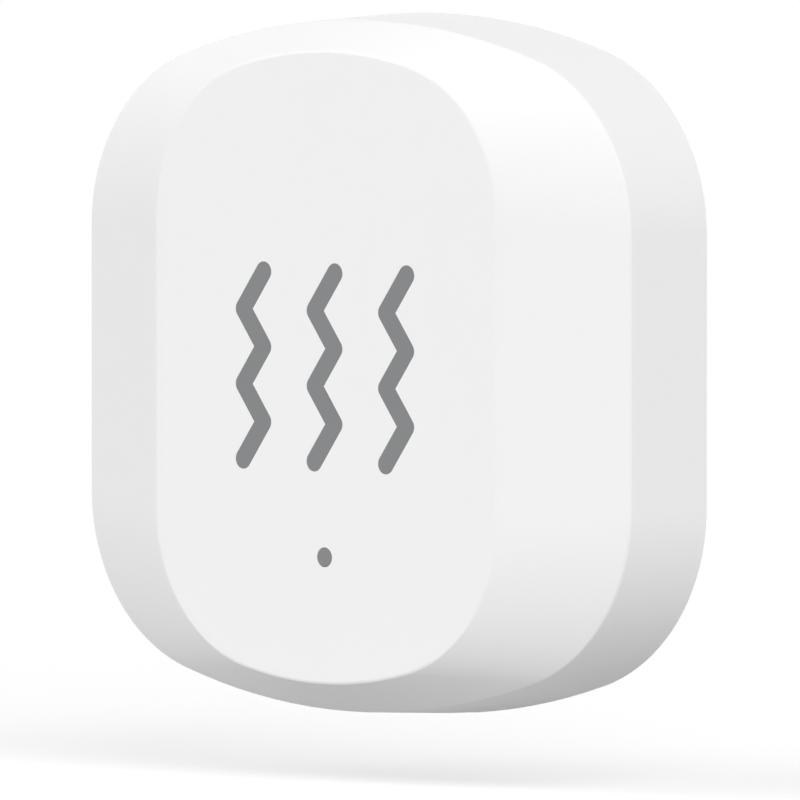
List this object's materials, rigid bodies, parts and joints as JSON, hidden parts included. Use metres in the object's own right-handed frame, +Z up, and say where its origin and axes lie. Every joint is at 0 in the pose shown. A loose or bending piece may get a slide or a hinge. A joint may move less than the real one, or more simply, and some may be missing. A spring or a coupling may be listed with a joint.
{
  "type": "vibration sensor tag",
  "caption": "Stick-on vibration sensor: a bowed square white cap with zigzag marks and a lamp window, over a snap-in back plate with a coin cell board.",
  "frame": {"origin": "centre of the sticky pad's back face, on the wall", "axes": "+Y into the wall, so the face looks along -Y; +Z up; +X to the right as seen from the front"},
  "size_m": [0.05, 0.0116, 0.0482],
  "materials": {
    "cap_white": "fine satin moulding",
    "mark_grey": "satin grey inlay",
    "guide_grey": "smoked clear plastic",
    "plate_white": "satin moulding",
    "foam_pad": "soft foam with a paper liner",
    "board_green": "solder mask over glass laminate",
    "screw_steel": "zinc plated steel",
    "cell_steel": "fine brushed steel",
    "cell_seal": "moulded seal",
    "holder_black": "matt moulding",
    "contact_nickel": "nickel plated spring strip",
    "shield_tin": "bright tin plate",
    "chip_black": "matt moulded package",
    "leg_tin": "bright tin plate",
    "lamp_body": "white moulded package",
    "lamp_lens": "clear resin",
    "switch_black": "matt moulding",
    "switch_steel": "stamped steel",
    "tube_black": "smooth black sleeve",
    "plug_amber": "moulded plug",
    "spring_gold": "gold flashed wire",
    "capacitor_tan": "fired body with tinned ends",
    "resistor_black": "coated body with tinned ends",
    "can_aluminium": "drawn can",
    "copper_trace": "copper under solder mask",
    "pad_gold": "gold flashed copper"
  },
  "bodies": {
    "base": {"base_plate": "plate_white", "adhesive_pad": "foam_pad", "circuit_board": "board_green", "board_screws": "screw_steel", "board_antenna": "copper_trace", "test_pads": "pad_gold", "cell_holder": "holder_black", "cell_can": "cell_steel", "cell_seal": "cell_seal", "cell_cap": "cell_steel", "positive_contact": "contact_nickel", "negative_contact": "contact_nickel", "radio_shield": "shield_tin", "radio_chip": "chip_black", "radio_crystal": "shield_tin", "signal_chip": "chip_black", "signal_chip_legs": "leg_tin", "voltage_regulator": "chip_black", "voltage_regulator_legs": "leg_tin", "status_lamp": "lamp_body", "status_lamp_lens": "lamp_lens", "switch_body": "switch_black", "switch_cover": "switch_steel", "switch_legs": "leg_tin", "switch_dome": "switch_steel", "sensor_tube": "tube_black", "sensor_plug": "plug_amber", "sensor_pin": "spring_gold", "sensor_lead": "spring_gold", "chip_capacitors": "capacitor_tan", "chip_resistors": "resistor_black", "buffer_capacitor": "can_aluminium", "buffer_capacitor_base": "holder_black"},
    "front_cap": {"front_cap": "cap_white", "mark_left": "mark_grey", "mark_middle": "mark_grey", "mark_right": "mark_grey", "light_guide": "guide_grey"},
    "switch_button": {"switch_button": "switch_black"},
    "sensor_coil": {"sensor_coil": "spring_gold"}
  },
  "joints": [
    {"name": "cap_release", "type": "slide", "parent": "base", "child": "front_cap", "axis": [0, -1, 0], "range_m": [0, 0.015]},
    {"name": "button_press", "type": "slide", "parent": "base", "child": "switch_button", "axis": [0, 1, 0], "range_m": [0, 0.00025], "stiffness_N_per_m": 4000},
    {"name": "coil_sway", "type": "hinge", "parent": "base", "child": "sensor_coil", "pos_m": [0.01641, -0.0066, 0.00106], "axis": [1, 0, 0], "range_deg": [-3.5, 3.5], "stiffness_Nm_per_rad": 0.0002}
  ]
}
